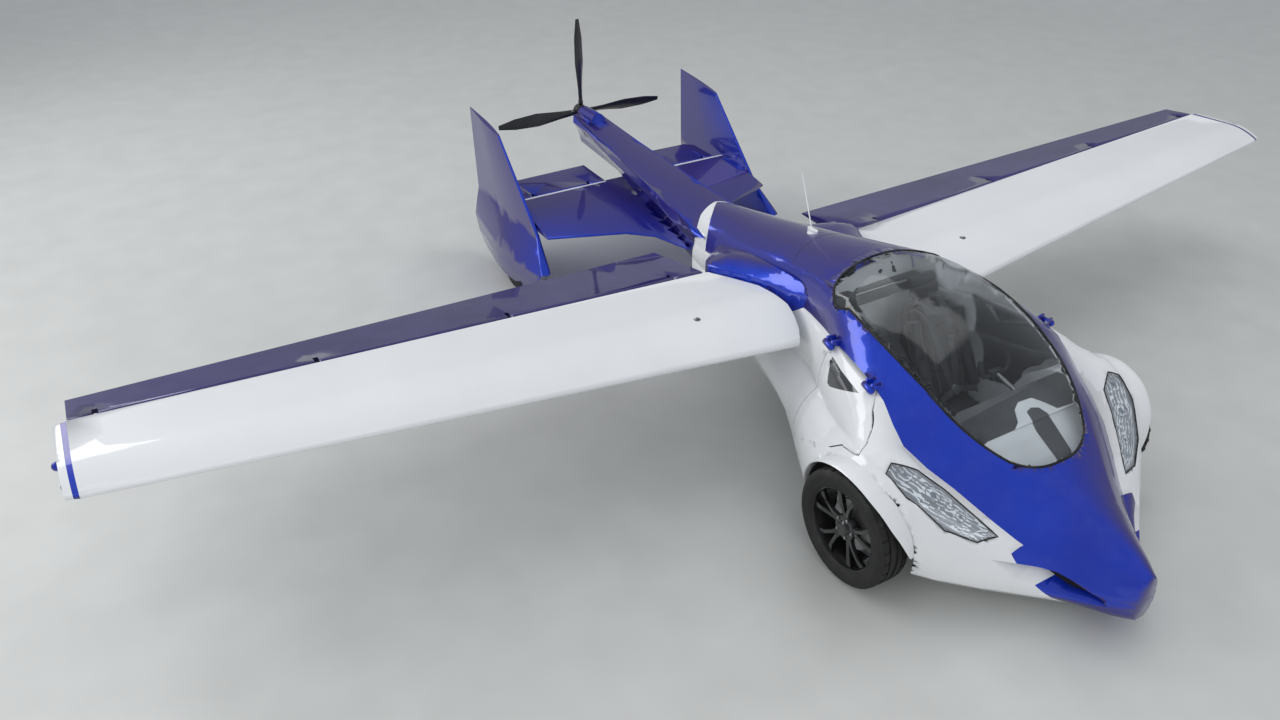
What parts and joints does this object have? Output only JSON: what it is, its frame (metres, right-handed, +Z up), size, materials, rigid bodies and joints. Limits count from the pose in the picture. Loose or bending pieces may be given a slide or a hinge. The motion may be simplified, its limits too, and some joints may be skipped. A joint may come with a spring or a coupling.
{
  "type": "flying car",
  "caption": "Two-seat flying car with blue and white body, spread wings, twin tail fins and a pusher propeller on a tail boom.",
  "frame": {"origin": "point on the floor under the middle of the bounding box; X runs across with plus at the vehicle left, the nose points to minus Y", "axes": "+X vehicle left, -Y forward, +Z up"},
  "size_m": [8.34, 5.653, 1.737],
  "materials": {
    "blue_paint": "gloss",
    "white_paint": "gloss",
    "clear_glass": "clear",
    "steel_parts": "satin",
    "black_plastic": "matte",
    "black_blade": "satin",
    "lamp_lens": "clear",
    "pale_lining": "satin",
    "black_leather": "satin",
    "cast_metal": "matte",
    "tyre_rubber": "matte",
    "black_rim": "gloss"
  },
  "bodies": {
    "car": {"antenna": "white_paint", "centre_console": "pale_lining", "dash_top": "pale_lining", "engine_block": "cast_metal", "fin_left": "blue_paint", "fin_right": "blue_paint", "front_suspension": "steel_parts", "headlights": "lamp_lens", "instrument_panel": "black_plastic", "lower_body": "white_paint", "nose_intake": "black_plastic", "pivot_covers": "blue_paint", "rear_axles": "steel_parts", "rear_bulkhead": "pale_lining", "rear_fairing": "white_paint", "seats": "black_leather", "tail_boom": "blue_paint", "tailplane": "blue_paint", "upper_body": "blue_paint", "windshield": "clear_glass", "wing_spars": "steel_parts", "yokes": "black_plastic"},
    "door_left": {"door_left": "white_paint", "side_glass_left": "clear_glass"},
    "wing_left": {"wing_left": "white_paint", "wing_tip_left": "blue_paint"},
    "flap_left": {"flap_left": "blue_paint"},
    "steer_left": {"front_knuckle_left": "steel_parts"},
    "front_wheel_left": {"front_tyre_left": "tyre_rubber", "front_rim_left": "black_rim"},
    "rear_wheel_left": {"rear_tyre_left": "tyre_rubber", "rear_rim_left": "black_rim"},
    "door_right": {"door_right": "white_paint", "side_glass_right": "clear_glass"},
    "wing_right": {"wing_right": "white_paint", "wing_tip_right": "blue_paint"},
    "flap_right": {"flap_right": "blue_paint"},
    "steer_right": {"front_knuckle_right": "steel_parts"},
    "front_wheel_right": {"front_tyre_right": "tyre_rubber", "front_rim_right": "black_rim"},
    "rear_wheel_right": {"rear_tyre_right": "tyre_rubber", "rear_rim_right": "black_rim"},
    "elevator": {"elevator": "blue_paint"},
    "propeller": {"propeller_hub": "black_plastic", "propeller_blades": "black_blade"}
  },
  "joints": [
    {"name": "door_left_hinge", "type": "hinge", "parent": "car", "child": "door_left", "pos_m": [0.64, -1.5585, 0.892], "axis": [0.1673, -0.9833, -0.0723], "range_deg": [0, 70]},
    {"name": "wing_left_pivot", "type": "hinge", "parent": "car", "child": "wing_left", "pos_m": [0.64, -0.4185, 0.80199], "axis": [-0.9987, 0, -0.0514], "range_deg": [-2, 6]},
    {"name": "flap_left_hinge", "type": "hinge", "parent": "wing_left", "child": "flap_left", "pos_m": [0.446, 0.0115, 0.77554], "axis": [-0.9982, -0.006, -0.0591], "range_deg": [-20, 30]},
    {"name": "steer_left_pin", "type": "hinge", "parent": "car", "child": "steer_left", "pos_m": [0.838, -1.8005, 0.313], "axis": [0, 0, 1], "range_deg": [-26, 26]},
    {"name": "front_wheel_left_spin", "type": "hinge", "parent": "steer_left", "child": "front_wheel_left", "pos_m": [0.881, -1.8005, 0.313], "axis": [1, 0, 0], "continuous": true},
    {"name": "rear_wheel_left_spin", "type": "hinge", "parent": "car", "child": "rear_wheel_left", "pos_m": [1.024, 1.9615, 0.18], "axis": [1, 0, 0], "continuous": true},
    {"name": "door_right_hinge", "type": "hinge", "parent": "car", "child": "door_right", "pos_m": [-0.64, -1.5585, 0.892], "axis": [0.1673, 0.9833, 0.0723], "range_deg": [0, 70]},
    {"name": "wing_right_pivot", "type": "hinge", "parent": "car", "child": "wing_right", "pos_m": [-0.64, -0.4185, 0.80199], "axis": [-0.9987, 0, 0.0514], "range_deg": [-2, 6]},
    {"name": "flap_right_hinge", "type": "hinge", "parent": "wing_right", "child": "flap_right", "pos_m": [-0.446, 0.0115, 0.77554], "axis": [-0.9982, 0.006, 0.0591], "range_deg": [-20, 30]},
    {"name": "steer_right_pin", "type": "hinge", "parent": "car", "child": "steer_right", "pos_m": [-0.838, -1.8005, 0.313], "axis": [0, 0, 1], "range_deg": [-26, 26]},
    {"name": "front_wheel_right_spin", "type": "hinge", "parent": "steer_right", "child": "front_wheel_right", "pos_m": [-0.881, -1.8005, 0.313], "axis": [1, 0, 0], "continuous": true},
    {"name": "rear_wheel_right_spin", "type": "hinge", "parent": "car", "child": "rear_wheel_right", "pos_m": [-1.024, 1.9615, 0.18], "axis": [1, 0, 0], "continuous": true},
    {"name": "elevator_hinge", "type": "hinge", "parent": "car", "child": "elevator", "pos_m": [0, 2.1095, 0.622], "axis": [1, 0, 0], "range_deg": [-20, 25]},
    {"name": "propeller_spin", "type": "hinge", "parent": "car", "child": "propeller", "pos_m": [0, 2.7885, 0.99], "axis": [0, 1, 0], "continuous": true}
  ],
  "couplings": [
    {"joint": "steer_right_pin", "follows": "steer_left_pin", "ratio": 1}
  ]
}
